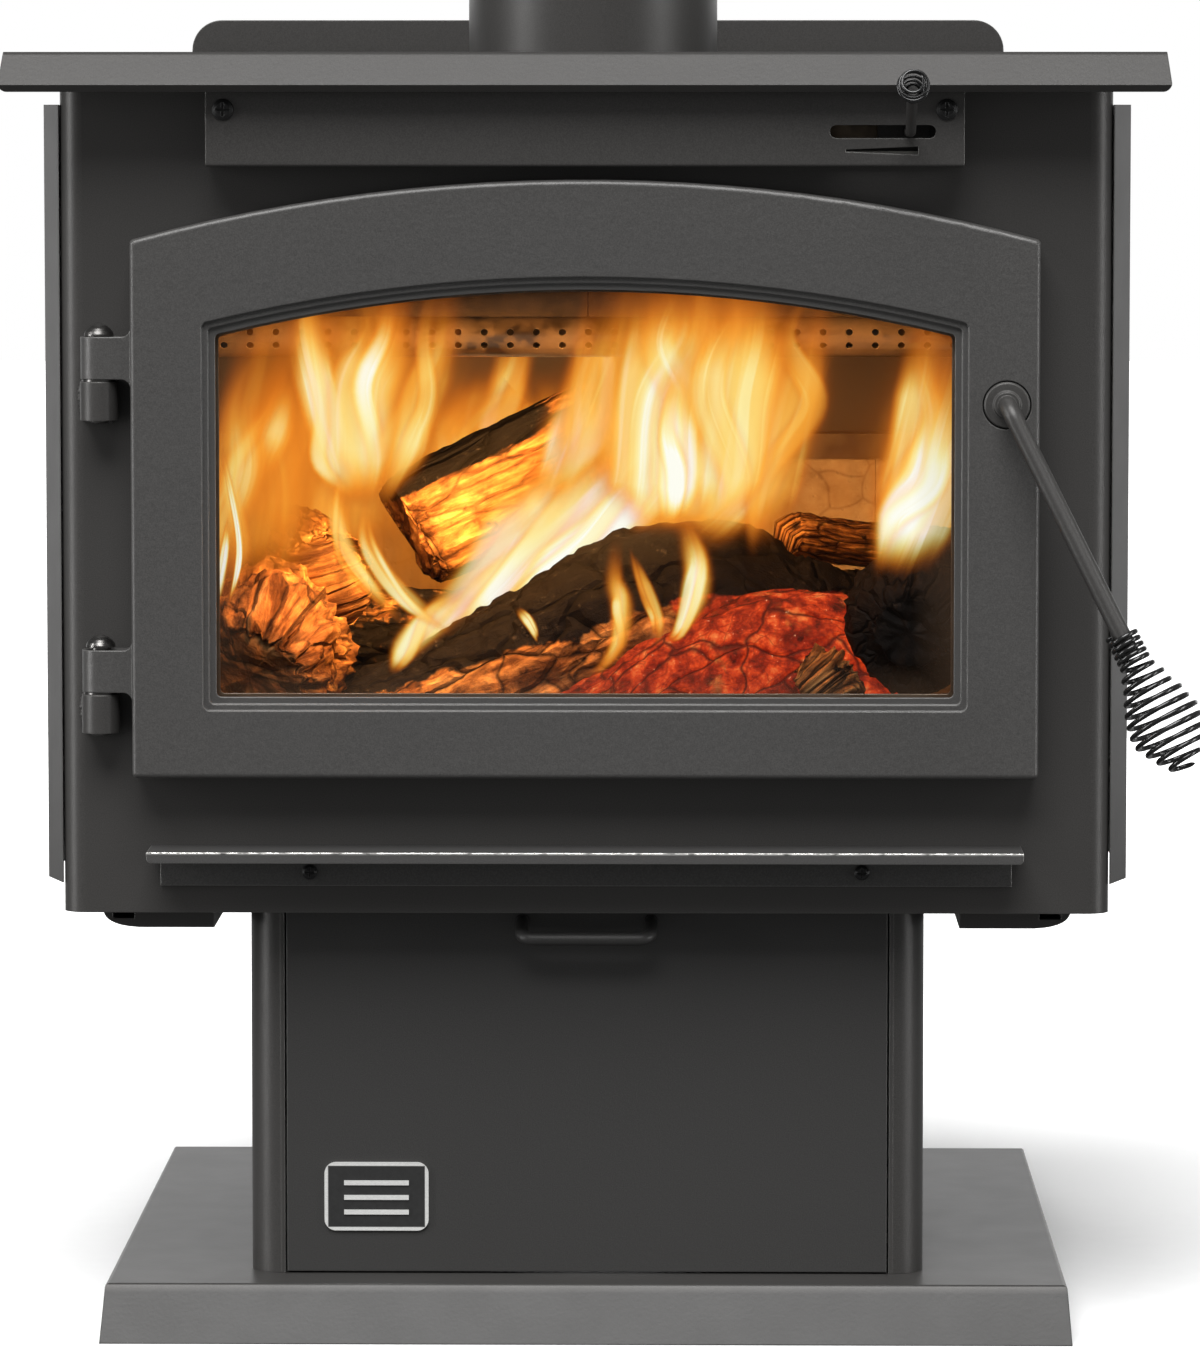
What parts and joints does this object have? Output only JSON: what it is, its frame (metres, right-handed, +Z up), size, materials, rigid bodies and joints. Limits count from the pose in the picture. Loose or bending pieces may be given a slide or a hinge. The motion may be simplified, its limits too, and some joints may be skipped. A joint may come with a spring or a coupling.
{
  "type": "wood burning stove",
  "caption": "Steel pedestal wood stove with an arched cast door and window, coil-spring latch handle, sliding air control, ash drawer, heat shields and a top flue collar.",
  "frame": {"origin": "on the floor under the middle of the base, on the underside of the base's cross channel", "axes": "+Z up along the flue outlet; the door faces -Y; +X towards the door's latch side"},
  "size_m": [0.7101, 0.6539, 0.8155],
  "materials": {
    "painted_steel": "charcoal high-heat metallic paint",
    "cast_iron_paint": "charcoal high-heat paint over sand casting",
    "bare_edge_steel": "charcoal paint with a rubbed front edge",
    "stainless": "heat-tinted stainless",
    "hinge_steel": "burnished dark steel",
    "black_screws": "black",
    "zinc_hardware": "zinc plated",
    "spring_wire": "glossy black wire",
    "firebrick": "refractory brick",
    "baffle_board": "vermiculite board",
    "ceramic_wool": "ceramic fibre",
    "rope_seal": "graphite glass-fibre rope",
    "window_glass": "clear ceramic glass",
    "drawer_steel": "dark ash drawer paint",
    "ash_pan_steel": "galvanised sheet",
    "plug_iron": "raw cast iron",
    "badge_metal": "cast pewter with black ground"
  },
  "bodies": {
    "stove": {"firebox_wrap": "painted_steel", "firebox_back": "painted_steel", "firebox_bottom": "painted_steel", "top_plate": "painted_steel", "flue_collar": "painted_steel", "door_frame_ring": "painted_steel", "floor_bricks": "firebrick", "side_bricks": "firebrick", "back_bricks": "firebrick", "brick_retainers": "stainless", "side_air_manifolds": "stainless", "rear_air_manifold": "stainless", "burn_tubes": "stainless", "air_riser": "painted_steel", "baffle_boards": "baffle_board", "baffle_blanket": "ceramic_wool", "air_wash_duct": "stainless", "damper_rails": "zinc_hardware", "air_cover": "painted_steel", "air_cover_brackets": "painted_steel", "air_cover_screws": "black_screws", "left_side_shield": "painted_steel", "right_side_shield": "painted_steel", "rear_shield": "painted_steel", "shield_spacers": "zinc_hardware", "sheet_screws": "black_screws", "under_rails": "painted_steel", "ash_lip": "bare_edge_steel", "hinge_barrels": "painted_steel", "hinge_washers": "hinge_steel", "hinge_pins": "hinge_steel", "latch_strike": "painted_steel", "pedestal_shell": "painted_steel", "base_pan": "painted_steel", "base_brace": "painted_steel", "pedestal_bolts": "zinc_hardware", "pedestal_nuts": "zinc_hardware", "drawer_rails": "painted_steel", "ash_chute": "painted_steel"},
    "door": {"door_casting": "cast_iron_paint", "door_glass": "window_glass", "glass_gasket": "rope_seal", "glass_retainer": "stainless", "glass_screws": "zinc_hardware", "door_gasket": "rope_seal", "handle_bushing": "hinge_steel"},
    "handle": {"door_handle": "painted_steel", "handle_grip": "spring_wire", "latch_cam": "hinge_steel", "latch_nut": "zinc_hardware"},
    "air_control": {"air_lever": "painted_steel", "air_lever_knob": "spring_wire", "damper_plate": "painted_steel"},
    "ash_drawer": {"drawer_front": "drawer_steel", "ash_pan": "ash_pan_steel", "drawer_screws": "zinc_hardware", "drawer_handle": "drawer_steel", "badge_plate": "badge_metal"},
    "plug": {"ash_plug": "plug_iron", "ash_plug_bail": "hinge_steel"}
  },
  "joints": [
    {"name": "door_hinge", "type": "hinge", "parent": "stove", "child": "door", "pos_m": [-0.2895, -0.29, 0.48], "axis": [0, 0, -1], "range_deg": [0, 120]},
    {"name": "door_handle_turn", "type": "hinge", "parent": "door", "child": "handle", "pos_m": [0.2503, -0.3, 0.5676], "axis": [0, -1, 0], "range_deg": [0, 65]},
    {"name": "air_control_slide", "type": "slide", "parent": "stove", "child": "air_control", "axis": [1, 0, 0], "range_m": [-0.042, 0.01]},
    {"name": "ash_drawer_slide", "type": "slide", "parent": "stove", "child": "ash_drawer", "axis": [0, -1, 0], "range_m": [0, 0.3]},
    {"name": "ash_plug_lift", "type": "slide", "parent": "stove", "child": "plug", "axis": [0, 0, 1], "range_m": [0, 0.12]}
  ]
}
